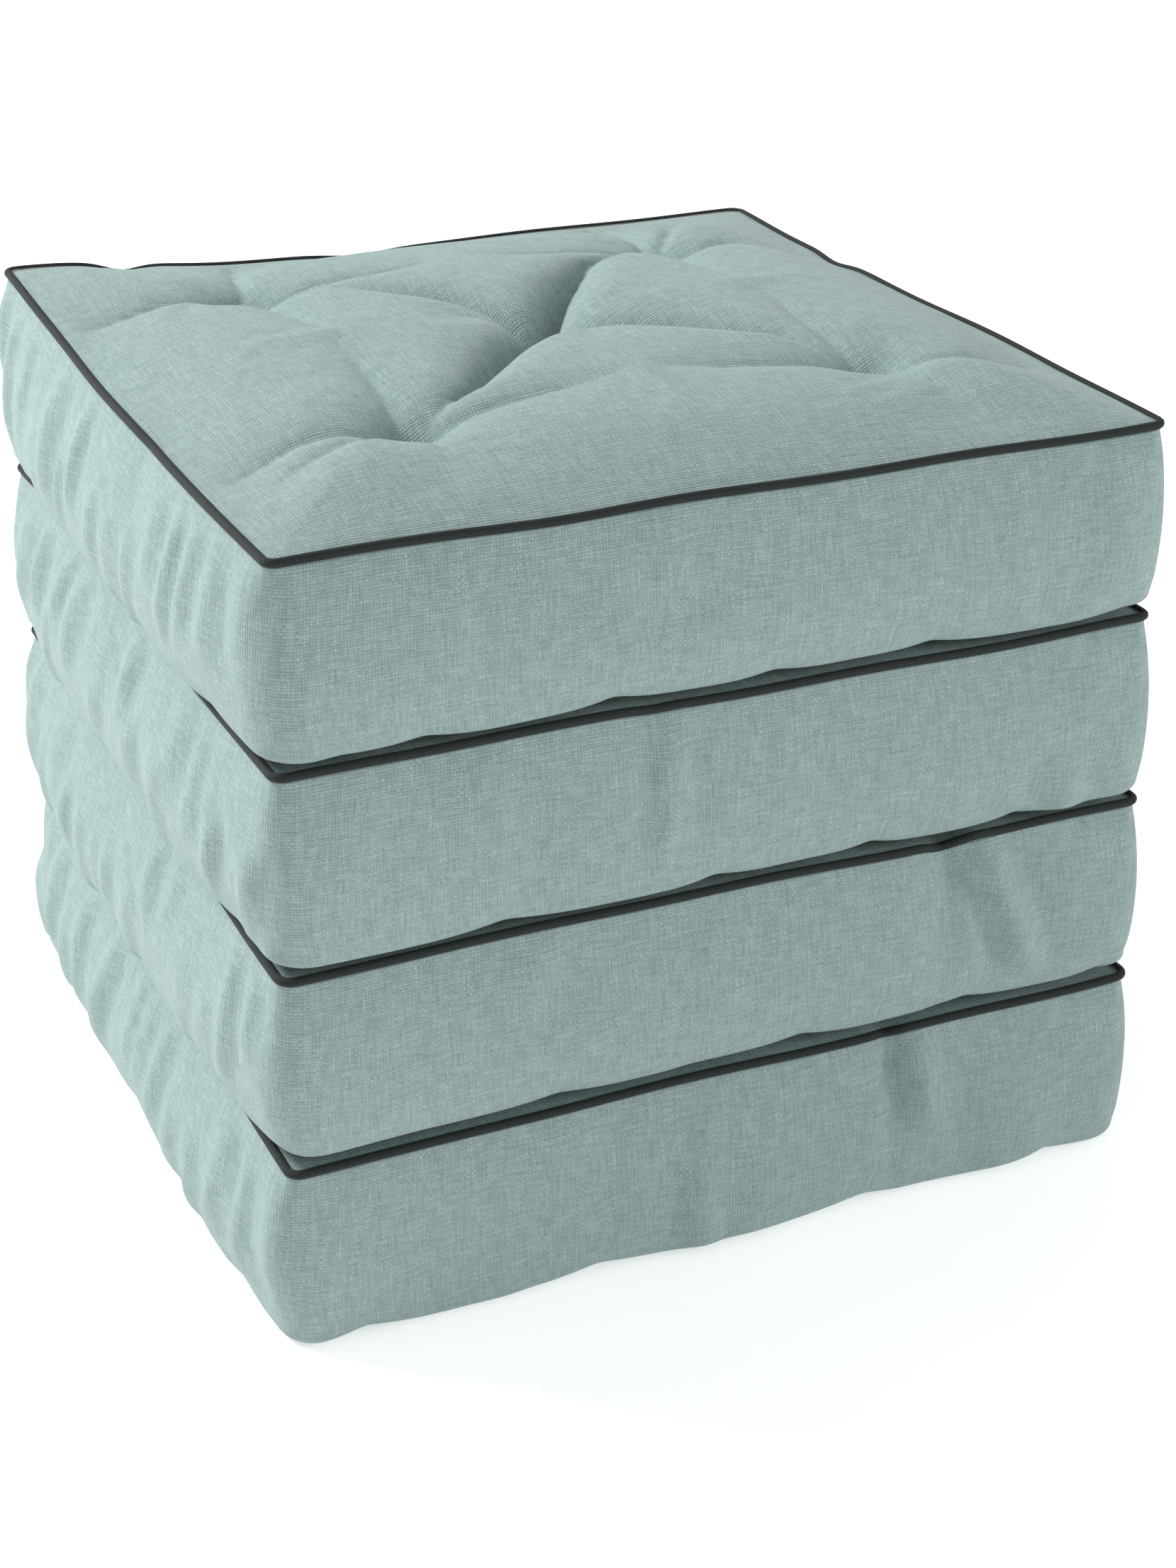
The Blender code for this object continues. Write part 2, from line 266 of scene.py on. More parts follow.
floor_mesh = bpy.data.meshes.new("floor")
floor_mesh.from_pydata([(-8, -8, 0), (8, -8, 0), (8, 8, 0), (-8, 8, 0)], [], [(0, 1, 2, 3)])
floor_mesh.materials.append(FLOOR)
floor = bpy.data.objects.new("floor", floor_mesh)
scene.collection.objects.link(floor)
floor.location.z = -0.0004
FLOOR.node_tree.nodes["Principled BSDF"].inputs["Emission Color"].default_value = (1, 1, 1, 1)
FLOOR.node_tree.nodes["Principled BSDF"].inputs["Emission Strength"].default_value = 0.44
area_light("key", (-2.1, 2.0, 2.5), (0, 0, 0.2), 1.0, 170)
area_light("fill", (2.4, -1.9, 1.1), (0, 0, 0.15), 1.0, 34)
sky = bpy.data.worlds.new("sky")
sky.use_nodes = True
scene.world = sky
sky.node_tree.nodes["Background"].inputs["Color"].default_value = (1, 1, 1, 1)
sky.node_tree.nodes["Background"].inputs["Strength"].default_value = 0.54
scene.view_settings.view_transform = "Standard"

# %% [markdown]
# ## The line of a seam
# A place round a cushion is one number, u: 0 is the front left corner and each
# side adds 1, so the front is 0 to 1 and the left is 3 to 4. Panels, bands and
# piping all ask the same function for the seam, so they meet everywhere. A sewn
# seam is never quite straight: it wanders under a millimetre, it is pulled in where a
# fold starts, and the top cushion's back left corner stands up.

# %% Seam line
def rim(u, reach, radius):
    """Places and outward directions on a square with rounded corners."""
    u = np.asarray(u, float) % 4
    side = np.floor(u)
    t = (u - side) * 2 - 1
    run = reach - radius
    far = np.abs(t) * (run + radius * math.pi / 4)
    bend = np.clip((far - run) / radius, 0, math.pi / 4)
    along = np.sign(t) * np.where(far < run, far, run + radius * np.sin(bend))
    out = run + radius * np.cos(bend)
    c, s = np.round(np.cos(side * math.pi / 2)), np.round(np.sin(side * math.pi / 2))
    lean = np.sign(t) * np.sin(bend)
    place = np.stack([along * c + out * s, along * s - out * c], -1)
    outward = np.stack([lean * c + np.cos(bend) * s, lean * s - np.cos(bend) * c], -1)
    return place, outward


# (where, half width in sides, outward, up), by cushion and seam
PULLS = {
    (4, "top"): [(3.0, 0.22, 0.000, 0.012), (2.86, 0.03, -0.002, -0.003), (2.55, 0.05, -0.001, -0.002),
                 (1.72, 0.04, -0.001, -0.002), (0.30, 0.10, 0.000, -0.001), (3.62, 0.03, -0.001, -0.001)],
    (3, "top"): [(0.40, 0.02, -0.001, -0.001), (3.30, 0.10, 0.000, 0.001)],
    (2, "top"): [(0.75, 0.018, -0.005, -0.004), (0.79, 0.018, 0.001, 0.001), (3.5, 0.1, 0.0, 0.001)],
    (1, "bottom"): [(0.50, 0.06, 0.006, -0.0015), (0.85, 0.05, 0.006, -0.0015)],
    (1, "top"): [(0.69, 0.015, -0.005, -0.003), (3.4, 0.1, 0.0, 0.001)],
}


def sway(n, seam, u):
    """How far cushion n's seam strays outward and up at u."""
    turn = np.asarray(u, float) * math.pi / 2
    key = 7.3 * n + (0.0 if seam == "top" else 3.1)
    out = 0.0006 * np.sin(5 * turn + key) + 0.0004 * np.sin(11 * turn + 2.3 * key)
    up = 0.0005 * np.sin(4 * turn + 1.7 * key) + 0.0003 * np.sin(13 * turn + 0.6 * key)
    for where, width, push, lift in PULLS.get((n, seam), ()):
        near = np.exp(-((((u - where + 2) % 4) - 2) / width) ** 2)
        out, up = out + push * near, up + lift * near
    return out, up


SEAM_CORNER = 0.005


def seam_line(n, seam, u):
    """Points of a seam, for cushion n at rest."""
    reach, height = (REACH, TOP_SEAM) if seam == "top" else (UNDER_REACH, UNDER_SEAM)
    place, outward = rim(u, reach, SEAM_CORNER)
    out, up = sway(n, seam, u)
    flat = place + outward * out[..., None]
    return np.concatenate([flat, (height + (n - 1) * PITCH + up)[..., None]], -1)

# %% [markdown]
# ## Cloth, settled by simulation
# Padded cloth looks soft because it found its own shape between the stitches and
# the filling. Each sheet starts as a rough form with its folds laid in. Blender's Cloth
# then pushes it out from inside while the seams, the stitches and, more weakly, the
# creases and the largest folds are held. The result is copied to a plain mesh.

# %% Settle a sheet
def new_mesh(name, points, faces, edges=()):
    """An object with a plain mesh, in the scene."""
    mesh = bpy.data.meshes.new(name)
    mesh.from_pydata(np.asarray(points).tolist(), list(edges), faces)
    mesh.update()
    thing = bpy.data.objects.new(name, mesh)
    scene.collection.objects.link(thing)
    return thing


def settle(points, faces, held, frames, pressure, bending):
    """Runs Cloth on a sheet and gives back where its points come to rest."""
    sheet = new_mesh("settling", points, faces)
    group = sheet.vertex_groups.new(name="held")
    for vertex, weight in enumerate(held):
        if weight > 0.001:
            group.add([vertex], float(weight), "REPLACE")
    cloth = sheet.modifiers.new("cloth", "CLOTH")
    cloth.collision_settings.use_collision = False
    cloth.point_cache.frame_start, cloth.point_cache.frame_end = 1, frames
    rules = cloth.settings
    rules.quality, rules.mass, rules.air_damping = 5, 0.1, 1.0
    rules.tension_stiffness, rules.compression_stiffness, rules.shear_stiffness = 25, 12, 6
    rules.bending_stiffness = bending
    rules.vertex_group_mass, rules.pin_stiffness = "held", 1.0
    rules.use_pressure, rules.uniform_pressure_force = True, pressure
    rules.effector_weights.gravity = 0
    for step in range(1, frames + 1):
        scene.frame_set(step)
    settled = np.empty(len(points) * 3)
    sheet.evaluated_get(bpy.context.evaluated_depsgraph_get()).data.vertices.foreach_get("co", settled)
    bpy.data.objects.remove(sheet)
    scene.frame_set(1)
    return settled.reshape(-1, 3)

# %% [markdown]
# ## Folds of a face
# Every stitch makes a pit, and creases run from pit to pit and from the pits to the
# seams, where the cloth has room to gather. A crease is a slit between two round
# lobes, so its sides are quarter circles that meet in a sharp bottom. It starts deep
# at the stitch and fades.

# %% Crease table
def crease_table():
    """(points, depth at the start, depth at the end, half width) of each crease, in metres."""
    middle, right_back, left_back, left_front, right_front = TUFTS
    table = [
        ([middle, (0.030, 0.046), (0.058, 0.082), right_back], 0.044, 0.005, 0.032),
        ([middle, (-0.030, 0.046), (-0.070, 0.088), left_back], 0.035, 0.005, 0.030),
        ([middle, (-0.035, -0.036), (-0.067, -0.078), left_front], 0.038, 0.010, 0.034),
        ([middle, (0.048, -0.034), (0.084, -0.066), right_front], 0.036, 0.010, 0.034),
    ]
    for a, b in ((left_front, right_front), (right_front, right_back), (right_back, left_back),
                 (left_back, left_front)):
        centre = (a + b) / 2 * 0.96
        table.append(([a, a * 0.6 + centre * 0.4, centre], 0.024, 0.002, 0.060))
        table.append(([b, b * 0.6 + centre * 0.4, centre], 0.024, 0.002, 0.060))
    edge = REACH - 0.008
    table += [
        ([left_front, (-0.156, -0.105), (-edge, -0.118)], 0.024, 0.003, 0.036),
        ([left_front, (-0.150, -0.128), (-0.180, -0.142)], 0.019, 0.001, 0.034),
        ([left_front, (-0.106, -0.140), (-0.110, -0.165)], 0.021, 0.001, 0.034),
        ([right_front, (0.150, -0.122), (edge, -0.120)], 0.021, 0.003, 0.036),
        ([right_front, (0.120, -0.150), (0.128, -edge)], 0.019, 0.001, 0.038),
        ([right_back, (0.112, 0.150), (0.105, edge)], 0.024, 0.004, 0.034),
        ([right_back, (0.130, 0.140), (0.150, 0.175)], 0.021, 0.001, 0.032),
        ([right_back, (0.150, 0.109), (edge, 0.095)], 0.023, 0.003, 0.036),
        ([left_back, (-0.145, 0.112), (-edge, 0.100)], 0.023, 0.003, 0.036),
        ([left_back, (-0.100, 0.150), (-0.088, edge)], 0.021, 0.003, 0.036),
    ]
    return [(np.array([np.array(p, float) for p in line]), a, b, w) for line, a, b, w in table]


CREASES = crease_table()
print(len(CREASES), "creases on a face")

# %% Distance to a crease
def beside(x, y, line):
    """Distance to a broken line, and how far along it, from 0 to 1."""
    steps = np.diff(line, axis=0)
    lengths = np.hypot(*steps.T)
    best, at = np.full(x.shape, 9.0), np.zeros(x.shape)
    walked = 0.0
    for start, step, length in zip(line, steps, lengths):
        share = np.clip(((x - start[0]) * step[0] + (y - start[1]) * step[1]) / length**2, 0, 1)
        away = np.hypot(x - start[0] - share * step[0], y - start[1] - share * step[1])
        nearer = away < best
        best = np.where(nearer, away, best)
        at = np.where(nearer, (walked + share * length) / lengths.sum(), at)
        walked += length
    return best, at


# %% Height of a face
def slit(away, width):
    """Depth beside a crease or a stitch, from 1 at its bottom to 0 where the lobe is full."""
    return 1 - np.sqrt(1 - (1 - np.clip(away / width, 0, 1)) ** 2)


EDGE_RUN, BACK_RUN = 0.085, 0.045  # from seam to full height, and how much more at the back
BACK_LOW = 0.28  # share of its height that the face loses towards the back
PIT_WIDTH = 0.060
CREASE_HOLD = 0.0034  # how far to each side a crease's bottom is held


def face_form(x, y, crown, pit, turn):
    """How far a face stands over its seam, and how firmly each place is held.

    turn gives the underside and the pressed faces other folds than the top's.
    """
    c, s = math.cos(turn * math.pi / 2), math.sin(turn * math.pi / 2)
    x, y = x * c - y * s, x * s + y * c
    inward = np.minimum(REACH - np.abs(x), REACH - np.abs(y))
    both = np.maximum(0, (1 - (x / REACH) ** 6) * (1 - (y / REACH) ** 6))
    back = np.clip(y / REACH, 0, 1) ** 2
    roll = np.clip(inward / (EDGE_RUN + BACK_RUN * back), 0, 1)
    height = crown * np.sin(roll * math.pi / 2) ** 1.15
    height = height * (0.80 + 0.20 * both) * (1 - BACK_LOW * back)
    dent = np.zeros(x.shape)
    held = np.zeros(x.shape)
    for tx, ty in TUFTS:
        away = np.maximum(0, np.hypot(x - tx, y - ty) - 0.0015)
        dent = dent + ((crown + pit) * slit(away, PIT_WIDTH)) ** 3
    for line, deep, shallow, width in CREASES:
        away, at = beside(x, y, line)
        depth = deep + (shallow - deep) * at**0.7
        fade = np.clip(inward / 0.012, 0, 1) * np.clip((1 - at) / 0.12, 0, 1) ** 0.5
        depth = depth * fade * crown / FREE_CROWN
        dent = dent + (depth * slit(away, width)) ** 3
        held = np.maximum(held, np.exp(-((away / CREASE_HOLD) ** 2)) * np.clip(depth / 0.008, 0, 1))
    return height - np.cbrt(dent), held

# %% [markdown]
# ## Panels
# A panel is a grid of small squares that follow the threads. Two grid lines each way
# run through the stitches. The face of a cushion in the stack is pressed flat by its
# neighbour, so there its height is cut off softly at the plane where they touch.

# %% Grid lines
def grid_lines(count):
    """count + 1 lines from -1 to 1, two of them on the outer stitches."""
    u = np.abs(np.linspace(-1, 1, count + 1))
    split = round(TUFT_SPREAD / REACH * count / 2) / (count / 2)
    inner = u / split * TUFT_SPREAD / REACH
    outer = 1 - (1 - u) / (1 - split) * (1 - TUFT_SPREAD / REACH)
    return np.sign(np.linspace(-1, 1, count + 1)) * np.where(u <= split, inner, outer)


def edge_places(count, lines):
    """Grid places (i, j) round the edge, counterclockwise from the front left, and their u."""
    last = count
    loop = [(i, 0) for i in range(last)] + [(last, j) for j in range(last)]
    loop += [(i, last) for i in range(last, 0, -1)] + [(0, j) for j in range(last, 0, -1)]
    half = (lines[:-1] + 1) / 2
    u = np.concatenate([half, 1 + half, 2 + half, 3 + half])
    return np.array(loop), u


def follow_edge(x, y, n, seam):
    """How much of the seam's rise and fall reaches a place inside the face."""
    total, lift = np.zeros(x.shape), np.zeros(x.shape)
    for side, (away, t) in enumerate(((REACH + y, x), (REACH - x, y), (REACH - y, -x), (REACH + x, -y))):
        weight = np.exp(-np.maximum(away, 0) / 0.045)
        lift += weight * sway(n, seam, side + np.clip(t / REACH + 1, 0, 1.9999) / 2)[1]
        total += weight
    return lift / np.maximum(1, total)


# %% Make one panel
FREE_CROWN, SOFT_CROWN = 0.025, 0.014


def soft_limit(height, limit, blend=0.0012):
    """The height, bent over softly so that it never passes the limit."""
    return limit - blend * np.logaddexp(0, (limit - height) / blend)


def panel(n, seam, count, frames):
    """Points, faces and thread map of a cushion's face."""
    lines = grid_lines(count)
    gx, gy = np.meshgrid(lines, lines, indexing="ij")
    reach = REACH if seam == "top" else UNDER_REACH
    x, y = gx * REACH, gy * REACH
    free = n == COUNT and seam == "top"
    crown = FREE_CROWN if free else SOFT_CROWN
    base = (n - 1) * PITCH
    knot = corners(f"cushion_{n}_tuft_tie_1")[1 if seam == "top" else 0][2]
    pit = abs(base + (TOP_SEAM if seam == "top" else UNDER_SEAM) - knot)
    turn = 0 if free else (n + (2 if seam == "bottom" else 0)) % 4
    rise, held = face_form(x, y, crown, pit, turn)
    if not free:
        rise = soft_limit(rise, PRESSED)
    shrink = 1 - (1 - reach / REACH) * np.maximum(np.abs(gx), np.abs(gy)) ** 6
    way = 1 if seam == "top" else -1
    height = base + (TOP_SEAM if seam == "top" else UNDER_SEAM) + way * rise
    height = height + follow_edge(x, y, n, seam)
    points = np.stack([x * shrink, y * shrink, height], -1)
    loop, u = edge_places(count, lines)
    points[loop[:, 0], loop[:, 1]] = seam_line(n, seam, u)
    held[loop[:, 0], loop[:, 1]] = 1
    for tx, ty in TUFTS:
        i, j = np.abs(lines * REACH - tx).argmin(), np.abs(lines * REACH - ty).argmin()
        held[i, j] = 1
    number = np.arange((count + 1) ** 2).reshape(count + 1, count + 1)
    quads = np.stack([number[:-1, :-1], number[1:, :-1], number[1:, 1:], number[:-1, 1:]], -1).reshape(-1, 4)
    if seam == "bottom":
        quads = quads[:, ::-1]
    flat = points.reshape(-1, 3)
    settled = settle(flat, quads.tolist(), held.reshape(-1), frames, 4.0, 0.003)
    if not free:
        plane = base + (THICKNESS if seam == "top" else 0.0)
        over = way * (settled[:, 2] - plane)
        settled[:, 2] = plane + way * soft_limit(over, 0.0)
    return settled, quads, np.stack([x, y], -1).reshape(-1, 2)

# %% [markdown]
# ## From sheet to piece
# The settled sheet gets one subdivision, so that its folds are smooth, and a wall of
# a millimetre towards the filling. Its map keeps the flat cloth's metres, so the
# weave runs true and gathers at the folds as real threads do.

# %% Finish a sheet
CLOTH = 0.001


def cloth_piece(name, points, quads, uv, material, smooth=True, corner_uv=None):
    """A closed piece of cloth from a sheet."""
    piece = new_mesh(name, points, quads.tolist())
    layer = piece.data.uv_layers.new(name="cloth")
    values = uv[quads.reshape(-1)] if corner_uv is None else corner_uv
    layer.data.foreach_set("uv", np.asarray(values, "float32").reshape(-1))
    piece.data.materials.append(material)
    piece.data.shade_smooth()
    if smooth:
        soften = piece.modifiers.new("soften", "SUBSURF")
        soften.levels = soften.render_levels = 1
    wall = piece.modifiers.new("wall", "SOLIDIFY")
    wall.thickness, wall.offset = CLOTH, -1
    return piece


def belongs(piece, n, part):
    """Puts a piece on its cushion in place of the frame's node."""
    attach(piece, f"cushion_{n}")
    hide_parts(f"cushion_{n}_{part}")


# Squares along a side and frames of cloth: the free face shows all its creases
FREE_GRID, PRESSED_GRID, UNDER_GRID = 144, 64, 48
FREE_FRAMES, PRESSED_FRAMES = 14, 8
for n in range(1, COUNT + 1):
    for seam in ("top", "bottom"):
        free = n == COUNT and seam == "top"
        count = FREE_GRID if free else (PRESSED_GRID if seam == "top" else UNDER_GRID)
        points, quads, uv = panel(n, seam, count, FREE_FRAMES if free else PRESSED_FRAMES)
        name = f"{'top' if seam == 'top' else 'under'}_linen_{n}"
        made = cloth_piece(name, points, quads, uv, LINEN if seam == "top" else SHADED_UNDER_LINEN,
                           smooth=seam == "top")
        belongs(made, n, f"{seam}_panel")
        print(name, len(quads), "squares, height", round(points[:, 2].min(), 4), round(points[:, 2].max(), 4))

# %% [markdown]
# ## Side bands
# The band is one long strip. Its top edge is sewn on the outside, and its lower edge
# turns under the cushion in a round lip, so that the lower seam hides. The strip is cut
# a little long, and the spare length stands as slanting folds, most of all
# on the left side.

# %% Band section
WALL_ROWS, LIP_ROWS = 12, 6
WALL_SHARE = 0.74  # of the way from seam to seam that is wall, and the rest lip
LIP, LIP_PROUD, BULGE, MID_CORNER = 0.0065, 0.0038, 0.0050, 0.020


def band_section():
    """Each row's place outside the upper seam, its height and its corner radius."""
    rows = []
    lip_height = LIP + 0.0003
    for k in range(WALL_ROWS + 1):
        s = k / WALL_ROWS
        out = LIP_PROUD * s + BULGE * math.sin(math.pi * s) ** 0.7
        rows.append((out, TOP_SEAM + (lip_height - TOP_SEAM) * s, s * WALL_SHARE))
    for k in range(1, LIP_ROWS):
        a = k / LIP_ROWS * math.radians(125)
        rows.append((LIP_PROUD - LIP + LIP * math.cos(a), lip_height - LIP * math.sin(a),
                     WALL_SHARE + (1 - WALL_SHARE) * k / LIP_ROWS))
    rows.append((UNDER_REACH - REACH, UNDER_SEAM, 1.0))
    return [(o, z, t, SEAM_CORNER + (MID_CORNER - SEAM_CORNER) * max(0, math.sin(math.pi * t)) ** 0.6)
            for o, z, t in rows]


SECTION = band_section()
print(len(SECTION), "rows in a band")

# %% Band folds
# Folds laid in one by one: (where, lean, height, half width, from, to), lengths in sides
# and rows from 0 at the upper seam to 1 at the lower
NAMED_FOLDS = {
    4: [(0.40, 0.02, 0.0014, 0.030, 0.0, 0.5), (0.93, 0.03, 0.0018, 0.025, 0.1, 0.8)],
    3: [(0.415, 0.0, 0.0032, 0.018, 0.05, 0.70), (0.385, 0.0, -0.0026, 0.012, 0.05, 0.70),
        (0.85, 0.06, 0.0040, 0.022, 0.50, 0.98), (0.20, 0.03, 0.0018, 0.026, 0.0, 0.8)],
    2: [(0.79, 0.10, 0.0062, 0.020, 0.0, 0.72), (0.755, 0.10, -0.0036, 0.015, 0.0, 0.75),
        (0.27, -0.02, 0.0022, 0.022, 0.0, 0.4)],
    1: [(0.69, 0.03, -0.0028, 0.015, 0.0, 0.55), (0.72, 0.03, 0.0038, 0.018, 0.0, 0.55),
        (0.44, 0.02, 0.0036, 0.020, 0.30, 0.95), (0.30, 0.0, 0.0014, 0.03, 0.0, 0.6)],
}
# For the front, right, back and left: how many folds, and how high
LOOSE_FOLDS = ((7, 0.0011), (9, 0.0016), (11, 0.0020), (15, 0.0032))


def folds_of(n):
    """All folds of cushion n's band."""
    dice = np.random.default_rng(40 + n)
    folds = list(NAMED_FOLDS[n])
    for side, (many, high) in enumerate(LOOSE_FOLDS):
        for k in range(many):
            where = side + (k + 0.5 + dice.uniform(-0.3, 0.3)) / many
            start = dice.choice([0.02, 0.05, 0.30])
            folds.append((where, dice.uniform(-0.08, -0.02) if side == 3 else dice.uniform(-0.04, 0.04),
                          high * dice.uniform(0.5, 1.2), dice.uniform(0.014, 0.028), start,
                          start + dice.uniform(0.45, 0.75)))
    return folds


def fold_height(n, u, t):
    """How far the folds push the band out at u, on row t, and how firmly it is held there."""
    total, firm = np.zeros(u.shape), np.zeros(u.shape)
    for k, (where, lean, high, half, start, end) in enumerate(folds_of(n)):
        away = (((u - where - lean * t + 2) % 4) - 2) / half
        run = np.clip((t - start) / 0.12, 0, 1) * np.clip((end - t) / 0.2, 0, 1)
        total += high * run * (np.exp(-(away**2)) - 0.45 * np.exp(-((away - 1.7) ** 2)))
        if k < len(NAMED_FOLDS[n]):
            firm = np.maximum(firm, 0.9 * run * np.exp(-((away / 1.6) ** 4)))
    return total, firm


# %% Make one band
# Where the lowest lip is drawn up enough to show its piping: (where, half width, up)
LIP_GAPS = ((0.50, 0.06, 0.004), (0.85, 0.05, 0.004))
BAND_WIDTH = 0.105  # of the strip, flat
LIP_LIFT = {1: 0.0, 2: 0.0018, 3: 0.0, 4: 0.0}
# How much further the lip stands out on the front, right, back and left
SIDE_PROUD = (0.0, 0.002, 0.004, 0.0075)


def lobes(n, u):
    """Rise of the lip between its lobes: 0 on a lobe and up to 1 between two."""
    turn = u * math.pi / 2
    wave = np.abs(np.sin(8.5 * turn + 0.9 * np.sin(3 * turn + n) + 1.3 * n))
    return (1 - wave) ** 2


def band(n, columns, frames):
    """Points, faces and thread map of a cushion's side band."""
    u = np.arange(columns) / columns * 4
    base = (n - 1) * PITCH
    top_out, top_up = sway(n, "top", u)
    low_out, low_up = sway(n, "bottom", u)
    front = np.exp(-(np.abs(((u - 0.5 + 2) % 4) - 2) / 0.6) ** 4)
    proud = sum(far * np.exp(-((np.abs(((u - side - 0.5 + 2) % 4) - 2) / 0.42) ** 6))
                for side, far in enumerate(SIDE_PROUD))
    rows, held = [], []
    for out, height, t, radius in SECTION:
        place, outward = rim(u, REACH + out, radius)
        stray = top_out * (1 - t) + low_out * t
        folds, firm = fold_height(n, u, t)
        held.append(firm)
        puff = folds * (0.3 + 0.7 * min(1, t / 0.1)) * (1 if 0 < t < 1 else 0)
        lip = math.exp(-(((t - 0.86) / 0.12) ** 2))
        puff = puff + 0.0012 * lip * (1 - 2 * lobes(n, u)) + proud * math.sin(math.pi * t**1.6) ** 0.8
        rise = top_up * (1 - t) ** 1.5 + low_up * t
        rise = rise + lip * (0.0018 * lobes(n, u) + LIP_LIFT[n] * front)
        for where, half, up in LIP_GAPS if n == 1 else ():
            rise = rise + lip * up * np.exp(-(((u - where) / half) ** 2))
        flat = place + outward * (stray + puff)[:, None]
        rows.append(np.concatenate([flat, (base + height + rise)[:, None]], 1))
    rows[0], rows[-1] = seam_line(n, "top", u), seam_line(n, "bottom", u)
    points = np.concatenate(rows)
    held = np.stack(held)
    held[0] = held[-1] = 1
    number = np.arange(len(SECTION) * columns).reshape(len(SECTION), columns)
    after = np.roll(number, -1, 1)
    quads = np.stack([number[:-1], number[1:], after[1:], after[:-1]], -1).reshape(-1, 4)
    settled = settle(points, quads.tolist(), held.reshape(-1), frames, 1.5, 0.001)
    settled[:, 2] = np.maximum(settled[:, 2], base + 0.0002)
    drop = np.array([t for _, _, t, _ in SECTION]) * BAND_WIDTH
    along = np.arange(columns + 1) / columns * 8 * REACH
    corner_uv = np.empty((len(SECTION) - 1, columns, 4, 2))
    corner_uv[:, :, 0, 0] = corner_uv[:, :, 1, 0] = along[:-1]
    corner_uv[:, :, 2, 0] = corner_uv[:, :, 3, 0] = along[1:]
    corner_uv[:, :, 0, 1] = corner_uv[:, :, 3, 1] = -drop[:-1, None]
    corner_uv[:, :, 1, 1] = corner_uv[:, :, 2, 1] = -drop[1:, None]
    return settled, quads, corner_uv


for n in range(1, COUNT + 1):
    points, quads, corner_uv = band(n, 400, 8)
    made = cloth_piece(f"band_linen_{n}", points, quads, None, LINEN, corner_uv=corner_uv)
    belongs(made, n, "side_band")
    print(made.name, len(quads), "squares, width", round(np.ptp(points[:, 0]), 4))

# %% [markdown]
# ## Filling
# A pad of fibre fills the cover. It is never seen, so it is coarse: the same form
# a few millimetres smaller, closed all round.

# %% Make the filling
INSET = 0.007


def filling(n, count):
    """A closed pad inside cushion n's cover."""
    lines = grid_lines(count)
    gx, gy = np.meshgrid(lines, lines, indexing="ij")
    loop, u = edge_places(count, lines)
    base = (n - 1) * PITCH
    faces, layers = [], []
    for seam, way in (("top", 1), ("bottom", -1)):
        shrink = (REACH if seam == "top" else UNDER_REACH) - INSET
        rise, _ = face_form(gx * REACH, gy * REACH, SOFT_CROWN, 0.018, n % 4)
        rise = soft_limit(rise, PRESSED) - 0.004
        height = base + (TOP_SEAM if seam == "top" else UNDER_SEAM) + way * rise
        sheet = np.stack([gx * shrink, gy * shrink, height], -1)
        edge, _ = rim(u, shrink, SEAM_CORNER)
        sheet[loop[:, 0], loop[:, 1], :2] = edge
        layers.append(sheet)
    points = [sheet.reshape(-1, 3) for sheet in layers]
    size = (count + 1) ** 2
    number = np.arange(size).reshape(count + 1, count + 1)
    quads = np.stack([number[:-1, :-1], number[1:, :-1], number[1:, 1:], number[:-1, 1:]], -1).reshape(-1, 4)
    faces += quads.tolist() + (quads[:, ::-1] + size).tolist()
    above = number[loop[:, 0], loop[:, 1]]
    start = 2 * size
    for out, height, _, radius in SECTION[2:-4:2]:
        edge, _ = rim(u, REACH + out - INSET - 0.001, radius)
        points.append(np.concatenate([edge, np.full((len(u), 1), base + height)], 1))
        below = np.arange(start, start + len(u))
        faces += np.stack([above, below, np.roll(below, -1), np.roll(above, -1)], -1).tolist()
        above, start = below, start + len(u)
    below = number[loop[:, 0], loop[:, 1]] + size
    faces += np.stack([above, below, np.roll(below, -1), np.roll(above, -1)], -1).tolist()
    return np.concatenate(points), faces


for n in range(1, COUNT + 1):
    points, faces = filling(n, 32)
    pad = new_mesh(f"fibre_filling_{n}", points, faces)
    pad.data.materials.append(FIBRE)
    pad.data.shade_smooth()
    belongs(pad, n, "filling")
print("filling", len(faces), "faces each")

# %% [markdown]
# ## Piping
# Piping follows the seam, so Geometry Nodes sweep it: the seam's loop is measured
# into short even steps, every second step is a little thinner, and an outline is
# swept along. The same tree makes the ribbed strip, whose outline is
# a C that opens towards the seam, and the round cord inside it. Real ribs are about
# 1.1 mm apart; here they are 2 mm apart so that they show.

# %% Sweep tree
def node_group(name, sockets):
    """An empty Geometry Nodes tree with named inputs, its input node and its output node."""
    tree = bpy.data.node_groups.new(name, "GeometryNodeTree")
    tree.interface.new_socket("Geometry", in_out="INPUT", socket_type="NodeSocketGeometry")
    for label, kind in sockets:
        tree.interface.new_socket(label, in_out="INPUT", socket_type=kind)
    tree.interface.new_socket("Geometry", in_out="OUTPUT", socket_type="NodeSocketGeometry")
    return tree, put(tree, "NodeGroupInput"), put(tree, "NodeGroupOutput")


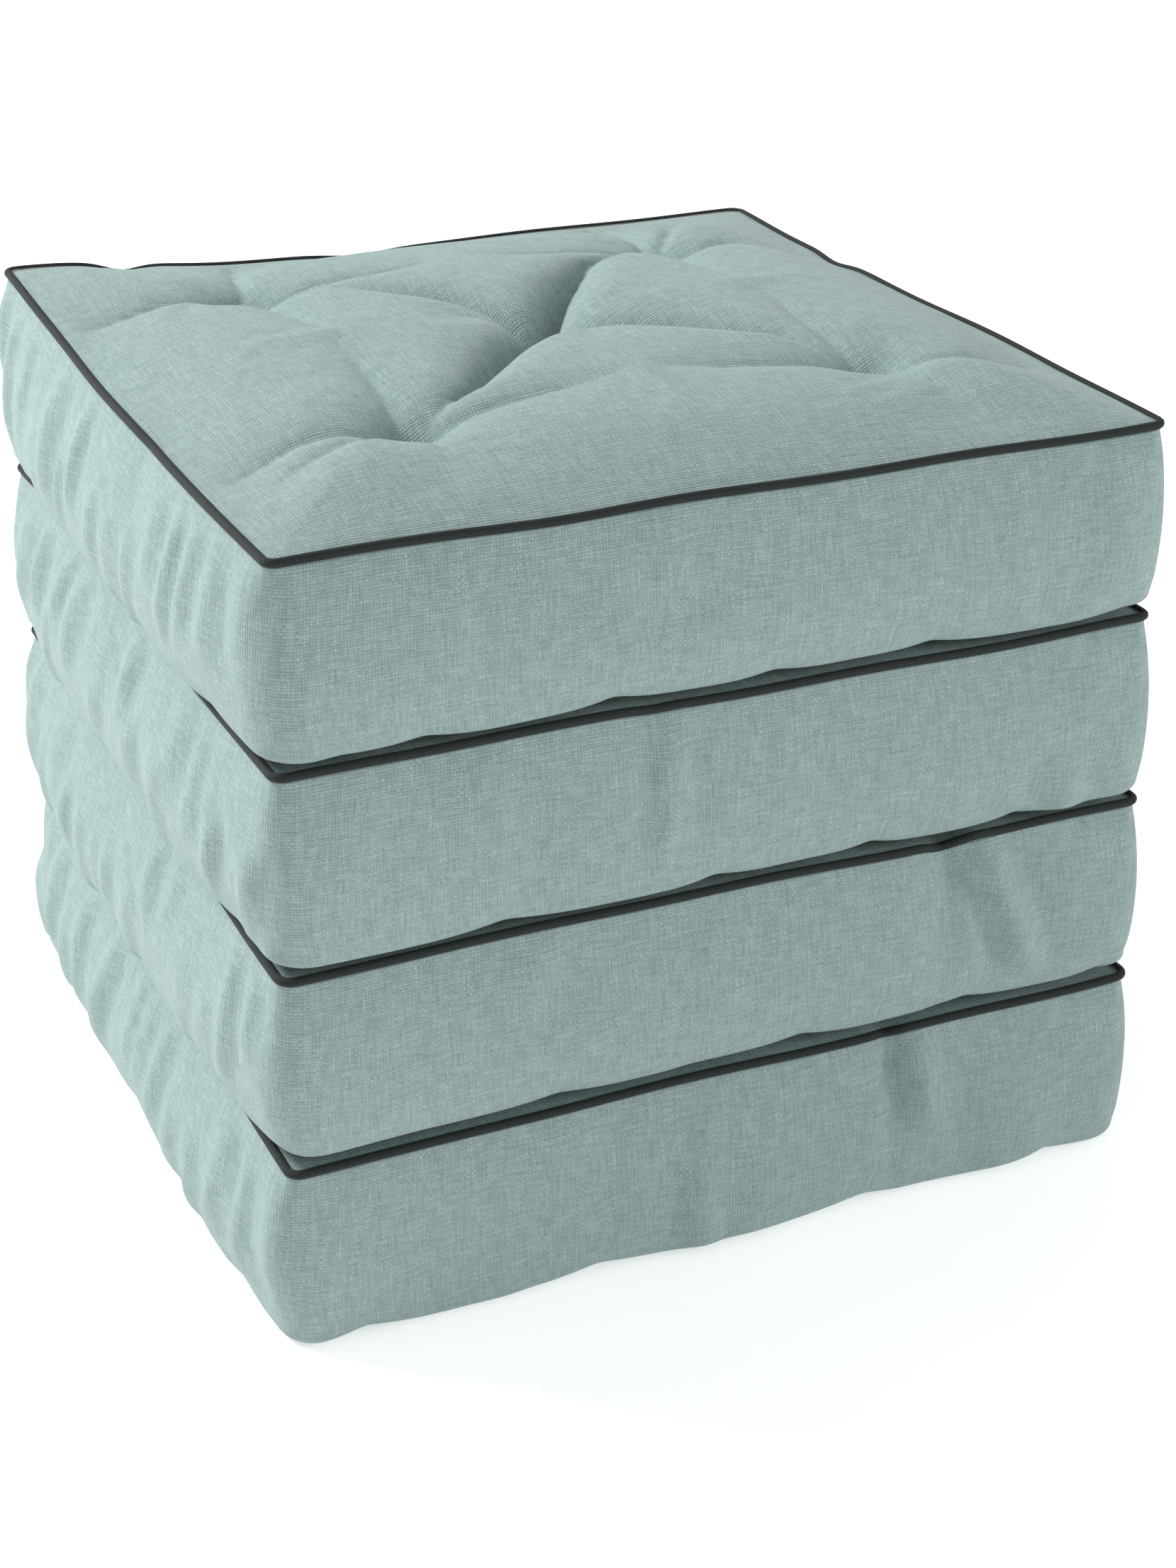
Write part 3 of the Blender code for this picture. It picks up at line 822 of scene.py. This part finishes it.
def sweep_tree():
    """Sweeps an outline along a loop of edges, with every second step thinner."""
    tree, given, result = node_group("sweep_along_seam", [
        ("Step", "NodeSocketFloat"), ("Rib depth", "NodeSocketFloat"),
        ("Outline", "NodeSocketObject"), ("Finish", "NodeSocketMaterial")])
    path = put(tree, "GeometryNodeMeshToCurve", {"Mesh": given.outputs["Geometry"]})
    even = put(tree, "GeometryNodeResampleCurve",
               {"Curve": path.outputs[0], "Length": given.outputs["Step"]}, mode="LENGTH")
    order = put(tree, "GeometryNodeInputIndex")
    odd = put(tree, "ShaderNodeMath", {0: order.outputs[0], 1: 2.0}, operation="MODULO")
    radius = put(tree, "ShaderNodeMath", {0: odd.outputs[0], 1: given.outputs["Rib depth"]},
                 operation="MULTIPLY")
    slim = put(tree, "ShaderNodeMath", {0: 1.0, 1: radius.outputs[0]}, operation="SUBTRACT")
    upright = put(tree, "GeometryNodeSetCurveNormal", {"Curve": even.outputs[0]}, mode="Z_UP")
    ribbed = put(tree, "GeometryNodeSetCurveRadius", {"Curve": upright.outputs[0], "Radius": slim.outputs[0]})
    outline = put(tree, "GeometryNodeObjectInfo", {"Object": given.outputs["Outline"]})
    swept = put(tree, "GeometryNodeCurveToMesh", {"Curve": ribbed.outputs[0],
                                                   "Profile Curve": outline.outputs["Geometry"]})
    smooth = put(tree, "GeometryNodeSetShadeSmooth", {"Geometry": swept.outputs[0]})
    real = put(tree, "GeometryNodeRealizeInstances", {"Geometry": smooth.outputs[0]})
    painted = put(tree, "GeometryNodeSetMaterial", {"Geometry": real.outputs[0],
                                                     "Material": given.outputs["Finish"]})
    tree.links.new(painted.outputs[0], result.inputs[0])
    return tree


def grow(name, base, tree, values):
    """Runs a tree on an object and keeps the result as a plain mesh under a new name."""
    modifier = base.modifiers.new("grow", "NODES")
    modifier.node_group = tree
    for item in tree.interface.items_tree:
        if item.in_out == "INPUT" and item.name in values:
            modifier[item.identifier] = values[item.name]
    bpy.context.view_layer.update()
    result = bpy.data.meshes.new_from_object(base.evaluated_get(bpy.context.evaluated_depsgraph_get()))
    base.modifiers.clear()
    bpy.data.objects.remove(base)
    result.name = name
    piece = bpy.data.objects.new(name, result)
    scene.collection.objects.link(piece)
    return piece


# %% Outlines of strip and cord
def outline_curve(name, points):
    """A closed flat curve, kept out of the scene."""
    curve = bpy.data.curves.new(name, "CURVE")
    spline = curve.splines.new("POLY")
    spline.points.add(len(points) - 1)
    for point, (x, y) in zip(spline.points, points):
        point.co = (x, y, 0, 1)
    spline.use_cyclic_u = True
    return bpy.data.objects.new(name, curve)


def round_points(radius, start, end, count):
    """Points on an arc, angles in degrees."""
    angles = np.radians(np.linspace(start, end, count))
    return [(radius * math.cos(a), radius * math.sin(a)) for a in angles]


STRIP_WALL = 0.00045
strip_outline = outline_curve("strip_outline", round_points(PIPING, 205, 515, 11)
                              + round_points(PIPING - STRIP_WALL, 515, 205, 7))
cord_outline = outline_curve("cord_outline", round_points(PIPING - STRIP_WALL - 0.0003, 0, 315, 8))
SWEEP = sweep_tree()

# %% Make the piping
for n in range(1, COUNT + 1):
    for seam in ("top", "bottom"):
        where = "top" if seam == "top" else "under"
        turn = np.arange(800) / 800 * 4
        line = seam_line(n, seam, turn)
        edges = [(k, (k + 1) % len(line)) for k in range(len(line))]
        for part, name, outline, step, depth, finish in (
            ("piping_cover", f"{where}_piping_{n}", strip_outline, 0.0010, 0.11, GROSGRAIN),
            ("piping_cord", f"{where}_cord_{n}", cord_outline, 0.0040, 0.04, COTTON)):
            loop = new_mesh("seam_track", line, [], edges)
            made = grow(name, loop, SWEEP, {"Step": step, "Rib depth": depth, "Outline": outline,
                                            "Finish": finish})
            belongs(made, n, f"{seam}_{part}")
    print("piping", n, len(made.data.polygons))

# %% [markdown]
# ## Tufts
# A needle passes waxed thread through the whole cushion and back, and both ends are
# drawn tight, so a tuft is one thread: a small crossed stitch in each face and two
# strands twisted together between them. Geometry Nodes give the thread its round body.

# %% Thread path
STRAND = 0.0006  # radius of the thread, and of its twist round the tuft's middle
STITCH_SPREAD = 0.0028  # from the tuft's middle to the ends of its crossed stitch
TWISTS, TWIST_STEPS = 8, 8


def tie_path(n, k):
    """The way of one tuft's thread, from the upper stitch to the lower."""
    x, y = TUFTS[k - 1]
    lowest, highest = corners(f"cushion_{n}_tuft_tie_{k}")
    top, low = highest[2] - 0.0004, lowest[2] + 0.0004

    def stitch(height, out):
        """A small cross whose middle stands out and whose ends dip in."""
        ends = ((-1, -1), (1, 1), (1, -1), (-1, 1), (0, 0))
        return [(x + a * STITCH_SPREAD, y + b * STITCH_SPREAD,
                 height + out * (0.0002 if (a, b) == (0, 0) else -0.0008)) for a, b in ends]

    twist = []
    for step in range(TWISTS * TWIST_STEPS + 1):
        a = step / TWIST_STEPS * 2 * math.pi
        z = top - 0.0015 + (low - top + 0.003) * step / (TWISTS * TWIST_STEPS)
        twist.append((x + STRAND * math.cos(a), y + STRAND * math.sin(a), z))
    return stitch(top, 1) + twist + stitch(low, -1)[::-1]


thread_outline = outline_curve("thread_outline", round_points(STRAND, 0, 315, 8))
for n in range(1, COUNT + 1):
    for k in range(1, 6):
        way = tie_path(n, k)
        track = new_mesh("thread_track", way, [], [(a, a + 1) for a in range(len(way) - 1)])
        made = grow(f"thread_{n}_{k}", track, SWEEP, {"Step": STRAND, "Rib depth": 0.0,
                                                     "Outline": thread_outline, "Finish": WAXED})
        belongs(made, n, f"tuft_tie_{k}")
print("threads of", len(way), "points")
